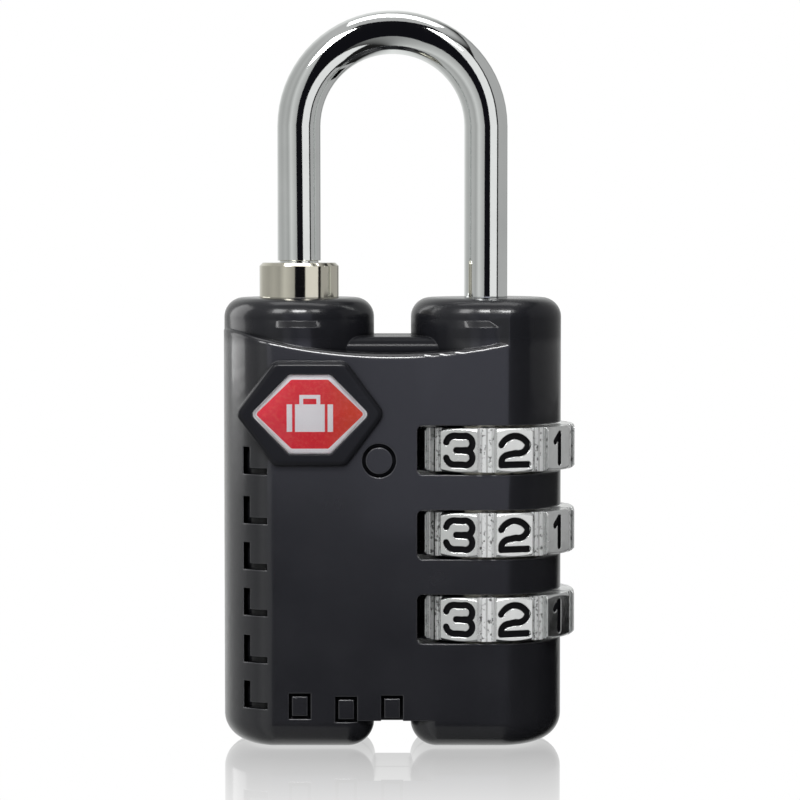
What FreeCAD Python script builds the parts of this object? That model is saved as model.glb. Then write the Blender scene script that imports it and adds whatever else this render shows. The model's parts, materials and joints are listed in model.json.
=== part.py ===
"""Three-dial luggage padlock with a removable-key release for the short leg of its shackle.

The origin lies under the centre of the dial column, on the plane the feet stand on.
+X runs from the key column to the dial column, -Y is the front and +Z is up.  Sizes are in millimetres.
"""

import FreeCAD
import Part
import math
import os
import re
import Sketcher

SIZES = {
    # die-cast housing
    "column_spacing": 17.3,
    "lobe_radius": 6.94,
    "lobe_top": 41.0,
    "lobe_round": 1.8,
    "flare_low": 38.4,
    "flare_high": 39.0,
    "flare_depth": 7.3,
    "panel_half_width": 6.99,
    "panel_half_depth": 7.6,
    "panel_flat_half": 2.05,
    "panel_flat_right": 1.3,
    "panel_dip": 36.0,
    "panel_arc_radius": 49.0,
    "panel_round": 0.5,
    "web_half_depth": 5.6,
    "web_top": 37.5,
    "web_round": 1.2,
    "web_floor": 2.6,
    "foot_round": 2.4,
    "foot_corner": 2.45,
    "seam_chamfer": 0.12,
    "shoulder_angle": 19.0,
    # dials
    "dial_low": 11.9,
    "dial_pitch": 7.7,
    "ring_height": 4.0,
    "ring_apothem": 8.2,
    "ring_corner": 8.5,
    "ring_bevel": 0.4,
    "ring_bore": 4.75,
    "window_height": 4.5,
    "window_reach": 6.4,
    "window_round": 0.5,
    "cavity_radius": 8.75,
    "groove_width": 1.7,
    "groove_radius": 8.1,
    "slot_width": 0.4,
    "slot_radius": 7.8,
    "digit_depth": 0.25,
    "notch_width": 1.3,
    "notch_radius": 5.35,
    "relief_radius": 5.45,
    # shackle
    "leg_radius": 2.0,
    "leg_end": 2.9,
    "bow_centre": 56.8,
    "nose_radius": 1.8,
    "nose_end": 41.4,
    "nose_shoulder": 44.4,
    "leg_clearance": 0.08,
    "spring_bore": 1.15,
    "spring_bore_top": 8.9,
    "lug_radius": 0.6,
    "lug_root": 0.4,
    "lug_reach": 3.2,
    "lug_drop": 2.05,
    "clip_low": 4.05,
    "clip_thickness": 0.55,
    "clip_inner": 1.62,
    "clip_outer": 2.9,
    # code sleeves
    "sleeve_radius": 4.65,
    "sleeve_length": 7.6,
    "sleeve_bore": 4.72,
    "chamber_radius": 3.5,
    "disc_half": 1.2,
    "gate_width": 1.6,
    "rib_width": 1.1,
    "rib_radius": 5.25,
    "floor_thickness": 1.0,
    "lug_chamber_top": 32.6,
    "lug_chamber_radius": 3.6,
    # key plug and release collar
    "plug_radius": 3.4,
    "plug_clearance": 0.06,
    "plug_bottom": 0.4,
    "plug_top": 29.5,
    "flange_radius": 4.2,
    "flange_low": 1.4,
    "flange_thickness": 1.2,
    "stem_radius": 2.66,
    "stem_top": 36.9,
    "keyway_width": 1.1,
    "keyway_depth": 4.6,
    "keyway_top": 22.0,
    "wafer_low": 6.0,
    "wafer_pitch": 4.0,
    "wafer_thickness": 0.7,
    "wafer_width": 2.6,
    "plug_clip_low": 28.3,
    "plug_clip_radius": 4.35,
    "plug_clip_inner": 3.0,
    "collar_radius": 3.675,
    "collar_clearance": 0.05,
    "collar_top": 44.2,
    "collar_bottom": 33.8,
    "collar_step": 40.8,
    "collar_mouth": 1.88,
    "collar_skirt_bore": 2.75,
    "collar_drop": 3.2,
    "drive_pin_z": 35.0,
    "drive_pin_radius": 0.55,
    "guide_pin_z": 36.0,
    "guide_pin_radius": 0.5,
    "pin_slack": 0.08,
    # badge, rivets and springs
    "badge_offset": 1.2,
    "badge_z": 30.6,
    "bezel_half_width": 6.8,
    "bezel_half_height": 4.75,
    "bezel_half_flat": 3.25,
    "bezel_front": 8.35,
    "bezel_edge": 0.5,
    "bezel_corner": 0.9,
    "inset_corner": 0.5,
    "inset_half_width": 5.4,
    "inset_half_height": 3.62,
    "inset_half_flat": 1.92,
    "inset_floor": 7.6,
    "plate_thickness": 0.45,
    "rim_width": 0.5,
    "enamel_depth": 0.2,
    "rivet_x": -11.4,
    "rivet_radius": 0.8,
    "rivet_head_radius": 1.4,
    "rivet_head_height": 0.6,
    "rivet_root": -5.0,
    "click_strip_x": -9.45,
    "click_thickness": 0.35,
    "click_low": 7.7,
    "click_high": 31.7,
    "click_nose_radius": 0.55,
    "click_nose_reach": 8.15,
    "side_mark_width": 2.2,
    "side_mark_height": 2.5,
    "side_mark_groove": 0.6,
    "front_mark_width": 2.0,
    "front_mark_height": 2.35,
    "front_mark_groove": 0.3,
    "mark_depth": 0.55,
}

DIAL_NAMES = ("bottom", "middle", "top")
FACETS = 10
ZERO_FACET_ANGLE = -0.6
RIVET_HEIGHTS = (5.5, 16.0, 24.0, 34.5)
SIDE_MARK_X = -21.1
SIDE_MARK_HEIGHTS = (4.9, 9.1, 13.4, 17.6, 21.8, 26.3)
FRONT_MARKS = ((-17.07, 3.95), (-12.85, 3.65), (-8.67, 3.75))
ROUND_MARK = (-9.85, 26.35)
BEYOND = "60"

doc = FreeCAD.newDocument("LuggagePadlock")
sheet = doc.addObject("Spreadsheet::Sheet", "Sizes")
subparts = []


def fill_sheet():
    """Writes every driving dimension to the sheet, one named cell to a row."""
    for row, (name, size) in enumerate(SIZES.items(), 1):
        sheet.set(f"A{row}", name)
        sheet.set(f"B{row}", str(size))
        sheet.setAlias(f"B{row}", name)
    doc.recompute()


def formula(text):
    """The expression with each dimension's name pointing at its cell."""
    return re.sub(r"[a-z_]+", lambda word: "Sizes." + word[0] if word[0] in SIZES else word[0], str(text))


def number(text):
    """The value of an expression in millimetres."""
    return float(sheet.evalExpression(formula(text)))


def bind(item, **sizes):
    """Binds properties of a document object to expressions of the sheet."""
    for path, text in sizes.items():
        item.setExpression(path.replace("__", "."), formula(text))
    return item


def place(item, x="0", y="0", z="0", axis=None, angle=0):
    """Turns an object about an axis through its own origin and moves it to x, y, z."""
    if axis:
        item.Placement = FreeCAD.Placement(FreeCAD.Vector(), FreeCAD.Rotation(FreeCAD.Vector(*axis), angle))
    return bind(item, Placement__Base__x=x, Placement__Base__y=y, Placement__Base__z=z)


def cylinder(radius, height, **where):
    return place(bind(doc.addObject("Part::Cylinder", "Cylinder"), Radius=radius, Height=height), **where)


def box(x, y, z, length, width, height):
    """A box that starts at the corner x, y, z."""
    block = bind(doc.addObject("Part::Box", "Box"), Length=length, Width=width, Height=height)
    return place(block, x=x, y=y, z=z)


def fuse(*items):
    union = doc.addObject("Part::MultiFuse", "Union")
    union.Shapes = list(items)
    union.Refine = len(items) < 8
    return union


def cut(base, *tools):
    difference = doc.addObject("Part::Cut", "Difference")
    difference.Base = base
    difference.Tool = tools[0] if len(tools) == 1 else fuse(*tools)
    return difference


def common(base, tool):
    overlap = doc.addObject("Part::Common", "Overlap")
    overlap.Base = base
    overlap.Tool = tool
    return overlap


def together(*items):
    group = doc.addObject("Part::Compound", "Group")
    group.Links = list(items)
    return group


def eased(base, kind, radius, picks):
    """The base with a fillet or chamfer on every edge that picks accepts."""
    doc.recompute()
    result = doc.addObject(kind, "Eased")
    result.Base = base
    reach = number(radius)
    result.Edges = [(i, reach, reach) for i, edge in enumerate(base.Shape.Edges, 1) if picks(edge.BoundBox)]
    return result


def subpart(label, item):
    """Names an object as one of the lock's pieces."""
    item.Label = label
    subparts.append(item)
    return item


def plane_of(body, role):
    return next(item for item in body.Origin.OriginFeatures if item.Role == role)


def polygon(sketch, corners):
    """Draws a closed outline whose corners, pairs of expressions, are bound to the sheet."""
    points = [FreeCAD.Vector(number(u), number(v), 0) for u, v in corners]
    for start, end in zip(points, points[1:] + points[:1]):
        sketch.addGeometry(Part.LineSegment(start, end), False)
    for i, (u, v) in enumerate(corners):
        sketch.addConstraint(Sketcher.Constraint("Coincident", i, 2, (i + 1) % len(corners), 1))
        for kind, text, value in (("DistanceX", u, points[i].x), ("DistanceY", v, points[i].y)):
            index = sketch.addConstraint(Sketcher.Constraint(kind, -1, 1, i, 1, value))
            sketch.setExpression(f"Constraints[{index}]", formula(text))
    return sketch


def turned(name, corners, z="0"):
    """A body turned about the vertical axis from an outline of (radius, height) corners."""
    body = doc.addObject("PartDesign::Body", name)
    sketch = body.newObject("Sketcher::SketchObject", name + "Profile")
    sketch.AttachmentSupport = [(plane_of(body, "XZ_Plane"), "")]
    sketch.MapMode = "FlatFace"
    polygon(sketch, corners)
    doc.recompute()
    revolution = body.newObject("PartDesign::Revolution", name + "Turning")
    revolution.Profile = sketch
    revolution.ReferenceAxis = (sketch, ["V_Axis"])
    revolution.Angle = 360
    body.Tip = revolution
    return place(body, z=z)


def rounded_prism(corners, front, depth, corner):
    """A wall prism whose corners are rounded."""
    return eased(wall_prism(corners, front, depth), "Part::Fillet", corner, lambda span: span.YLength > 0.1)


def wall_prism(corners, front, depth):
    """A prism whose outline of (x, z) corners stands at y = -front and runs back by depth."""
    sketch = doc.addObject("Sketcher::SketchObject", "Outline")
    sketch.Placement = FreeCAD.Placement(FreeCAD.Vector(), FreeCAD.Rotation(FreeCAD.Vector(1, 0, 0), 90))
    bind(sketch, Placement__Base__y=f"-({front})")
    polygon(sketch, corners)
    prism = doc.addObject("Part::Extrusion", "Prism")
    prism.Base = sketch
    prism.DirMode = "Custom"
    prism.Dir = FreeCAD.Vector(0, 1, 0)
    prism.Solid = True
    return bind(prism, LengthFwd=depth)


def coil(mean_radius, wire_radius, low, height, pitch):
    """A round-wire compression spring about the dial column."""
    helix = bind(doc.addObject("Part::Helix", "Helix"), Radius=mean_radius, Height=height, Pitch=pitch)
    place(helix, z=low)
    wire = bind(doc.addObject("Part::Circle", "Wire"), Radius=wire_radius)
    place(wire, x=mean_radius, z=low, axis=(1, 0, 0), angle=90)
    spring = doc.addObject("Part::Sweep", "Coil")
    spring.Sections = [wire]
    spring.Spine = (helix, [])
    spring.Solid = True
    spring.Frenet = True
    return spring


def dial_centre(index):
    return f"dial_low + {index} * dial_pitch"


def polar_boxes(inner, outer, width, low, height, offsets=("0",), start=ZERO_FACET_ANGLE):
    """Ten boxes round the origin, one to a facet, each standing from the inner to the outer radius."""
    inner = f"({inner})"
    boxes = []
    for i in range(FACETS):
        for offset in offsets:
            block = doc.addObject("Part::Box", "Tooth")
            bind(block, Length=f"{outer} - {inner}", Width=width, Height=height)
            angle = start + i * 360 / FACETS
            sine = math.sin(math.radians(angle))
            cosine = math.cos(math.radians(angle))
            side = f"({offset} - {width} / 2)"
            place(
                block,
                x=f"{inner} * {cosine:.9f} - {side} * {sine:.9f}",
                y=f"{inner} * {sine:.9f} + {side} * {cosine:.9f}",
                z=low,
                axis=(0, 0, 1),
                angle=angle,
            )
            boxes.append(block)
    return boxes


# ---------------------------------------------------------------- housing


def upright(base, height):
    """A solid raised straight up from a flat outline."""
    prism = doc.addObject("Part::Extrusion", "Upright")
    prism.Base = base
    prism.DirMode = "Custom"
    prism.Dir = FreeCAD.Vector(0, 0, 1)
    prism.Solid = True
    return bind(prism, LengthFwd=height)


def ellipse(x, half_depth, half_width, z="0"):
    """An outline that is longest from front to back."""
    curve = bind(doc.addObject("Part::Ellipse", "Ellipse"), MajorRadius=half_depth, MinorRadius=half_width)
    return place(curve, x=x, z=z, axis=(0, 0, 1), angle=90)


def panel_column(x, outer, reach):
    """One column of the thicker panel: flat faces, an elliptical outer side (+1 right) and a rounded foot."""
    depth = "2 * panel_half_depth"
    flat = box(f"{x} - {reach}", "-panel_half_depth", "0", f"2 * {reach}", depth, "lobe_top")
    side = f"{x} + {outer} * {reach}"
    curved = upright(ellipse(side, "panel_half_depth", f"panel_half_width - {reach}"), "lobe_top")
    start = x if outer < 0 else f"{x} - panel_half_width"
    block = box(start, "-panel_half_depth", "0", "panel_half_width", depth, "lobe_top")
    middle = number(x)
    inner_side = number("panel_half_width") - 0.01

    def inner_corner(span):
        return span.ZLength > 1 and outer * (middle - span.XMin) > inner_side

    inner = eased(block, "Part::Fillet", "foot_corner", inner_corner)
    return eased(fuse(flat, curved, inner), "Part::Fillet", "foot_round", lambda span: span.ZMax < 0.01)


def lobe(x, *shoulders):
    """The round column that carries on above the panel, with any shoulders that stand against it."""
    post = cylinder("lobe_radius", "lobe_top - foot_round", x=x, z="foot_round")
    top = number("lobe_top")
    column = fuse(post, *shoulders) if shoulders else post
    return fuse(eased(column, "Part::Fillet", "lobe_round", lambda span: span.ZMin > top - 0.01), flare(x))


def flare(x):
    """The lobe's swelling to the front and back, just above the panel."""
    wide = ("flare_depth", "lobe_radius - 0.02")
    skirt = upright(ellipse(x, *wide, z="panel_dip - 1"), "flare_low - panel_dip + 1")
    slope = doc.addObject("Part::Loft", "FlareSlope")
    narrow = ("lobe_radius", "lobe_radius - 0.02")
    slope.Sections = [ellipse(x, *wide, z="flare_low"), ellipse(x, *narrow, z="flare_high")]
    slope.Solid = True
    slope.Ruled = True
    return fuse(skirt, slope)


def shoulder(right_column):
    """The dial column's outer side at full height, faded out to the front and back by slanting cuts."""
    height = "lobe_top - foot_round"
    side = common(right_column, box("0", "-10", "foot_round", "10", "20", height))
    reach = "(lobe_radius - 0.06)"
    slope = f"tan({SIZES['shoulder_angle']} deg)"
    run = "8"
    corners = [("0", reach), (run, f"{reach} + {run} * {slope}"), (run, "12"), ("0", "12")]
    cuts = []
    for side_of_seam in (-1, 1):
        sketch = doc.addObject("Sketcher::SketchObject", "Slant")
        bind(sketch, Placement__Base__z="foot_round")
        polygon(sketch, [(u, f"{side_of_seam} * ({v})") for u, v in corners])
        cuts.append(upright(sketch, height))
    return cut(side, *cuts)


def hexagon(half_width, half_height, half_flat):
    """Corners of a flat-topped hexagon round the badge's centre."""
    x = "(badge_offset - column_spacing)"
    return [
        (f"{x} - {half_width}", "badge_z"),
        (f"{x} - {half_flat}", f"badge_z - {half_height}"),
        (f"{x} + {half_flat}", f"badge_z - {half_height}"),
        (f"{x} + {half_width}", "badge_z"),
        (f"{x} + {half_flat}", f"badge_z + {half_height}"),
        (f"{x} - {half_flat}", f"badge_z + {half_height}"),
    ]


def housing_outside():
    """Both columns, the web between them, the swept top edge of the panel and the badge's bezel."""
    left = "-column_spacing"
    depth = "2 * panel_half_depth"
    slab = box(left, "-panel_half_depth", "web_floor", "column_spacing", depth, "lobe_top - web_floor")
    right_column = panel_column("0", 1, "panel_flat_right")
    panel = fuse(panel_column(left, -1, "panel_flat_half"), right_column, slab)
    centre = "-column_spacing / 2"
    height = "panel_dip + panel_arc_radius"
    sweep = cylinder("panel_arc_radius", BEYOND, x=centre, y="30", z=height, axis=(1, 0, 0), angle=90)
    dip = number("panel_dip")
    half_depth = number("panel_half_depth")

    def swept_front_or_back(span):
        on_face = abs(span.YMax) > half_depth - 0.1 and span.YLength < 7.0
        return span.ZMin > dip - 0.1 and on_face and span.XLength > 3.0

    edged = eased(cut(panel, sweep), "Part::Fillet", "panel_round", swept_front_or_back)
    depth = "2 * web_half_depth"
    web = box(left, "-web_half_depth", "web_floor", "column_spacing", depth, "web_top - web_floor")
    top = number("web_top")
    web = eased(web, "Part::Fillet", "web_round", lambda span: span.ZMin > top - 0.01 and span.XLength > 3.0)
    outline = hexagon("bezel_half_width", "bezel_half_height", "bezel_half_flat")
    block = rounded_prism(outline, "bezel_front", "4.5", "bezel_corner")
    front = number("bezel_front")
    bezel = eased(block, "Part::Fillet", "bezel_edge", lambda span: span.YMax < 0.01 - front)
    return fuse(edged, web, lobe(left), lobe("0", shoulder(right_column)), bezel)


def dial_hollows():
    """Rooms for the dials, open at the front, the right and the back, and the click spring's pocket."""
    hollows = []
    left = -number("window_reach")

    def upright_end(span):
        return span.XMax < left + 0.01 and span.YLength > 10

    for index in range(len(DIAL_NAMES)):
        low = f"{dial_centre(index)} - window_height / 2"
        hollows.append(cylinder("cavity_radius", "window_height", z=low))
        window = box("-window_reach", "-30", low, "30", BEYOND, "window_height")
        hollows.append(eased(window, "Part::Fillet", "window_round", upright_end))
    height = "click_high - click_low + 0.4"
    hollows.append(box("click_strip_x - 0.45", "-4.3", "click_low - 0.2", "2.0", "2.8", height))
    return hollows


def bores():
    """The stepped bores of both columns."""
    shoulder = f"{dial_centre(2)} + sleeve_length / 2 + 0.05"
    left = "-column_spacing"
    collar_floor = "plug_clip_low + 0.8"
    return [
        cylinder("sleeve_bore", f"{shoulder} - floor_thickness", z="floor_thickness"),
        cylinder("lug_chamber_radius", f"lug_chamber_top - ({shoulder})", z=shoulder),
        cylinder("leg_radius + leg_clearance", BEYOND, z="lug_chamber_top"),
        cylinder("plug_radius + plug_clearance", "plug_clip_low", x=left, z="-0.2"),
        cylinder("flange_radius + plug_clearance", "flange_thickness + 0.2", x=left, z="flange_low - 0.1"),
        cylinder("plug_clip_radius + 0.1", "1.0", x=left, z="plug_clip_low - 0.2"),
        cylinder("collar_radius + collar_clearance", BEYOND, x=left, z=collar_floor),
        box(f"{left} - 4.1", "-wafer_width / 2 - 0.1", "wafer_low - 1", "8.2", "wafer_width + 0.2", "16"),
        cylinder("guide_pin_radius", "3.1", x=left, y="5.55", z="guide_pin_z", axis=(1, 0, 0), angle=90),
    ]


def rivet_holes():
    """Blind holes from the back, with a counterbore for each head."""
    holes = []
    for height in RIVET_HEIGHTS:
        where = {"x": "rivet_x", "z": height, "axis": (1, 0, 0), "angle": 90}
        holes.append(cylinder("rivet_radius", "20", y="20 + rivet_root", **where))
        depth = "rivet_head_height + 5"
        holes.append(cylinder("rivet_head_radius", depth, y="panel_half_depth + 5", **where))
    return holes


def groove_tool(x, z, back, width, height, groove, corner=False):
    """The tool for a groove round a pad, or along its left and lower sides only."""
    left = f"{x} - {width} / 2"
    low = f"{z} - {height} / 2"
    outer = box(left, "-12", low, width, f"12 - {back}", height)
    sides = 1 if corner else 2
    beyond = 1 if corner else 0
    pad_width = f"{width} - {sides} * {groove} + {beyond}"
    pad_height = f"{height} - {sides} * {groove} + {beyond}"
    pad = box(f"{left} + {groove}", "-13", f"{low} + {groove}", pad_width, f"14 - {back}", pad_height)
    return cut(outer, pad)


def ornament():
    """Shallow corner grooves down the left side, square ones along the foot, and one round groove."""
    half_width = "panel_half_width - panel_flat_half - mark_depth"
    kept = ellipse("-column_spacing - panel_flat_half", "panel_half_depth - mark_depth", half_width)
    core = upright(kept, "lobe_top")
    sizes = ("side_mark_width", "side_mark_height", "side_mark_groove")
    corners = [groove_tool(SIDE_MARK_X, z, "4", *sizes, corner=True) for z in SIDE_MARK_HEIGHTS]
    side = cut(together(*corners), core)
    depth = "(panel_half_depth - mark_depth)"
    sizes = ("front_mark_width", "front_mark_height", "front_mark_groove")
    front = [groove_tool(x, z, depth, *sizes) for x, z in FRONT_MARKS]
    x, z = ROUND_MARK
    disc = cylinder("1.55", "4", x=x, y=f"-{depth}", z=z, axis=(1, 0, 0), angle=90)
    boss = cylinder("1.2", "4", x=x, y=f"-{depth}", z=z, axis=(1, 0, 0), angle=90)
    return [side, *front, cut(disc, boss)]


def build_housing():
    """The front and rear castings, split at y = 0, with every cavity cut from both."""
    outside = housing_outside()
    inset = hexagon("inset_half_width", "inset_half_height", "inset_half_flat")
    recess = rounded_prism(inset, "20", "20 - inset_floor", "inset_corner")
    cavities = [*dial_hollows(), *bores(), *rivet_holes()]
    for label, low, extra in (("front_housing", "-30", [recess, *ornament()]), ("rear_housing", "0", [])):
        half = common(outside, box("-40", low, "-5", "60", "30", BEYOND))
        seam = eased(half, "Part::Chamfer", "seam_chamfer", lambda span: max(-span.YMin, span.YMax) < 0.01)
        subpart(label, cut(seam, *cavities, *extra))


def build_rivets():
    """Four rivets that hold the castings together, driven in from the back."""
    rivets = []
    y = "panel_half_depth - 0.05"
    for height in RIVET_HEIGHTS:
        where = {"x": "rivet_x", "y": y, "z": height, "axis": (1, 0, 0), "angle": 90}
        shank = cylinder("rivet_radius", f"{y} - rivet_root", **where)
        head = cylinder("rivet_head_radius", "rivet_head_height - 0.05", **where)
        rivets.append(fuse(shank, head))
    subpart("housing_rivets", together(*rivets))


# ---------------------------------------------------------------- badge


def build_badge():
    """A white plate with a raised rim and a raised suitcase, red enamel between them, and a clear cover."""
    back = "inset_floor"
    face = "(inset_floor + plate_thickness)"
    gap = "0.03"
    sizes = [f"({name} - {gap})" for name in ("inset_half_width", "inset_half_height", "inset_half_flat")]
    outline = hexagon(*sizes)
    plate = rounded_prism(outline, face, f"{face} - {back}", "inset_corner")
    inner_width = "(inset_half_width - rim_width)"
    inner_height = "(inset_half_height - rim_width)"
    inner_outline = hexagon(inner_width, inner_height, "(inset_half_flat - rim_width / 2)")
    tray = rounded_prism(inner_outline, face, "enamel_depth", "inset_corner / 2")
    suitcase = build_suitcase(face)
    field = cut(tray, suitcase)
    subpart("badge_plate", cut(plate, field))
    subpart("badge_enamel", copy_of(field))
    cover = rounded_prism(outline, f"{face} + 0.35", "0.35", "inset_corner")
    front = -number(face) - 0.35
    subpart("badge_cover", eased(cover, "Part::Fillet", "0.25", lambda span: span.YMax < front + 0.01))


def copy_of(item):
    """A second object with the same shape as an earlier one."""
    twin = doc.addObject("Part::Compound", "Twin")
    twin.Links = [item]
    return twin


def build_suitcase(face):
    """Raised suitcase: a wide case between two straps and a handle on top."""
    x = "(badge_offset - column_spacing)"
    y = f"-{face}"
    pieces = [
        box(f"{x} - 1.35", y, "badge_z - 1.6", "2.7", "enamel_depth", "2.5"),
        box(f"{x} - 2.1", y, "badge_z - 1.6", "0.5", "enamel_depth", "2.5"),
        box(f"{x} + 1.6", y, "badge_z - 1.6", "0.5", "enamel_depth", "2.5"),
        box(f"{x} - 0.95", y, "badge_z + 0.9", "0.35", "enamel_depth", "0.65"),
        box(f"{x} + 0.6", y, "badge_z + 0.9", "0.35", "enamel_depth", "0.65"),
        box(f"{x} - 0.95", y, "badge_z + 1.4", "1.9", "enamel_depth", "0.35"),
    ]
    return together(*pieces)


# ---------------------------------------------------------------- shackle


def build_shackle():
    """A bent bar: long leg down the dial column, half-circle bow and a short leg with a thinner nose."""
    long_leg = cylinder("leg_radius", "bow_centre - leg_end", z="leg_end")
    bow = bind(doc.addObject("Part::Torus", "Bow"), Radius1="column_spacing / 2", Radius2="leg_radius")
    bow.Angle3 = 180
    place(bow, x="-column_spacing / 2", z="bow_centre", axis=(1, 0, 0), angle=90)
    short_leg = cylinder("leg_radius", "bow_centre - nose_shoulder", x="-column_spacing", z="nose_shoulder")
    nose = cylinder("nose_radius", "nose_shoulder - nose_end", x="-column_spacing", z="nose_end")
    low = number("nose_end")
    nose = eased(nose, "Part::Fillet", "0.7", lambda span: span.ZMax < low + 0.01)
    bar = fuse(long_leg, bow, short_leg, nose)
    tools = [cylinder("spring_bore", "spring_bore_top", z="0")]
    for index in range(len(DIAL_NAMES)):
        tools.append(lug(index))
    groove = "clip_thickness + 0.05"
    band = cylinder("leg_radius + 1", groove, z="clip_low")
    tools.append(cut(band, cylinder("clip_inner - 0.02", groove, z="clip_low")))
    subpart("shackle", cut(bar, *tools))


def lug(index):
    """A pin that stands out of the back of the long leg below a code sleeve's disc."""
    z = f"{dial_centre(index)} - lug_drop"
    return cylinder("lug_radius", "lug_reach - lug_root", y="lug_reach", z=z, axis=(1, 0, 0), angle=90)


def build_lug_pins():
    subpart("lug_pins", together(*[lug(index) for index in range(len(DIAL_NAMES))]))


def open_ring(x, low, thickness, inner, outer, gap):
    """A flat spring clip with a gap towards the front."""
    disc = cylinder(outer, thickness, x=x, z=low)
    hole = cylinder(inner, thickness, x=x, z=low)
    mouth = box(f"{x} - {gap} / 2", f"-{outer} - 1", low, gap, f"{outer} + 1", thickness)
    return cut(disc, hole, mouth)


def build_leg_clip():
    clip = open_ring("0", "clip_low + 0.025", "clip_thickness", "clip_inner", "clip_outer", "2.2")
    subpart("leg_clip", clip)


# ---------------------------------------------------------------- dials and code sleeves

DIGIT_HALF_WIDTH = 1.27
DIGIT_HALF_HEIGHT = 1.3
STROKE_RADIUS = 0.3

# Each digit is a list of strokes.  A stroke is a start point, then points reached by a straight line,
# or pairs of points: one on the way and the end of an arc.  Points are shares of the half width and height.
STROKES = {
    0: [
        [(-0.9, -0.2), (-0.9, 0.2), ((0, 1), (0.9, 0.2)), (0.9, -0.2)],
        [(-0.9, -0.2), ((0, -1), (0.9, -0.2))],
    ],
    1: [[(-0.45, 0.5), (0.1, 1), (0.1, -1)]],
    2: [
        [(-1, 0.4), ((0, 1), (1, 0.4)), ((0.75, -0.05), (0.1, -0.2)), (-0.5, -0.3)],
        [(-0.5, -0.3), ((-0.88, -0.5), (-1, -0.8)), (-1, -1), (1, -1)],
    ],
    3: [
        [(-0.95, 0.55), ((-0.7, 0.9), (-0.2, 1)), (0.3, 1), ((1, 0.5), (0.3, 0)), (-0.2, 0)],
        [(0.3, 0), ((1, -0.5), (0.3, -1)), (-0.2, -1), ((-0.7, -0.9), (-0.95, -0.55))],
    ],
    4: [[(0.45, -1), (0.45, 1), (-0.9, -0.35)], [(0.45, 1), (-0.9, -0.35), (1, -0.35)]],
    5: [
        [(0.85, 1), (-0.75, 1), (-0.85, 0.15)],
        [(-0.85, 0.15), (0.2, 0.2), ((1, -0.4), (0.2, -1)), (-0.3, -1), ((-0.75, -0.9), (-0.95, -0.65))],
    ],
    6: [
        [(0.7, 0.95), ((-0.6, 0.45), (-0.95, -0.35))],
        [(-0.95, -0.35), ((0, 0.2), (0.95, -0.35))],
        [(-0.95, -0.35), ((0, -1), (0.95, -0.35))],
    ],
    7: [[(-0.9, 1), (0.9, 1), (-0.3, -1)]],
    8: [
        [(-0.8, 0.52), ((0, 1), (0.8, 0.52))],
        [(-0.8, 0.52), ((0, 0.04), (0.8, 0.52))],
        [(-0.95, -0.48), ((0, 0.04), (0.95, -0.48))],
        [(-0.95, -0.48), ((0, -1), (0.95, -0.48))],
    ],
    9: [
        [(-0.7, -0.95), ((0.6, -0.45), (0.95, 0.35))],
        [(0.95, 0.35), ((0, -0.2), (-0.95, 0.35))],
        [(0.95, 0.35), ((0, 1), (-0.95, 0.35))],
    ],
}


def digit_point(share):
    return FreeCAD.Vector(share[0] * DIGIT_HALF_WIDTH, share[1] * DIGIT_HALF_HEIGHT, 0)


def stroke_solid(stroke, height):
    """A rounded pen stroke along a path, standing up by height."""
    here = digit_point(stroke[0])
    edges = []
    for step in stroke[1:]:
        if isinstance(step[0], tuple):
            end = digit_point(step[1])
            edges.append(Part.Arc(here, digit_point(step[0]), end).toShape())
        else:
            end = digit_point(step)
            edges.append(Part.LineSegment(here, end).toShape())
        here = end
    outline = Part.Wire(edges).makeOffset2D(STROKE_RADIUS, 0, False, False, False)
    return Part.Face(outline).extrude(FreeCAD.Vector(0, 0, height))


def digit_cutters():
    """All ten digits, each standing at its own facet, as one shape to cut from a ring."""
    apothem = number("ring_apothem")
    depth = number("digit_depth")
    solids = []
    for digit, strokes in STROKES.items():
        angle = ZERO_FACET_ANGLE - digit * 360 / FACETS
        solid = stroke_solid(strokes[0], depth + 1)
        for stroke in strokes[1:]:
            solid = solid.fuse(stroke_solid(stroke, depth + 1))
        solid = solid.removeSplitter()
        radial = FreeCAD.Rotation(FreeCAD.Vector(0, 0, 1), angle)
        axes = [FreeCAD.Vector(0, 1, 0), FreeCAD.Vector(0, 0, 1), FreeCAD.Vector(1, 0, 0)]
        outward = FreeCAD.Rotation(*axes, "ZXY")
        start = radial.multVec(FreeCAD.Vector(apothem - depth, 0, 0))
        solid.Placement = FreeCAD.Placement(start, radial.multiply(outward))
        solids.append(solid)
    return Part.makeCompound(solids)


def dial_ring():
    """A ten-sided ring with engraved digits, grooved corners, and notches for the code sleeve's rib."""
    half = "ring_height / 2"
    low = f"-{half}"
    corner = ZERO_FACET_ANGLE + 180 / FACETS
    prism = doc.addObject("Part::Prism", "Facets")
    prism.Polygon = FACETS
    bind(prism, Circumradius=f"ring_apothem / cos({180 / FACETS} deg)", Height="ring_height")
    place(prism, z=low, axis=(0, 0, 1), angle=corner)
    barrel = cylinder("ring_corner", "ring_height", z=low)
    barrel = eased(barrel, "Part::Chamfer", "ring_bevel", lambda span: span.ZLength < 0.01)
    offset = "(groove_width - slot_width) / 2"
    digits = doc.addObject("Part::Feature", "Digits")
    digits.Shape = digit_cutters()
    tools = [
        cylinder("ring_bore", "ring_height", z=low),
        cylinder("relief_radius", half, z=low),
        *polar_boxes("4", "notch_radius", "notch_width", "0", half),
        *polar_boxes("groove_radius", "12", "groove_width", low, "ring_height", start=corner),
        *polar_boxes("slot_radius", "12", "slot_width", low, "ring_height", (offset, f"-{offset}"), corner),
        digits,
    ]
    return cut(common(prism, barrel), *tools)


def build_dial_rings():
    pattern = dial_ring()
    for index, name in enumerate(DIAL_NAMES):
        ring = copy_of(pattern)
        subpart(f"dial_ring_{name}", place(ring, z=dial_centre(index)))


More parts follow.
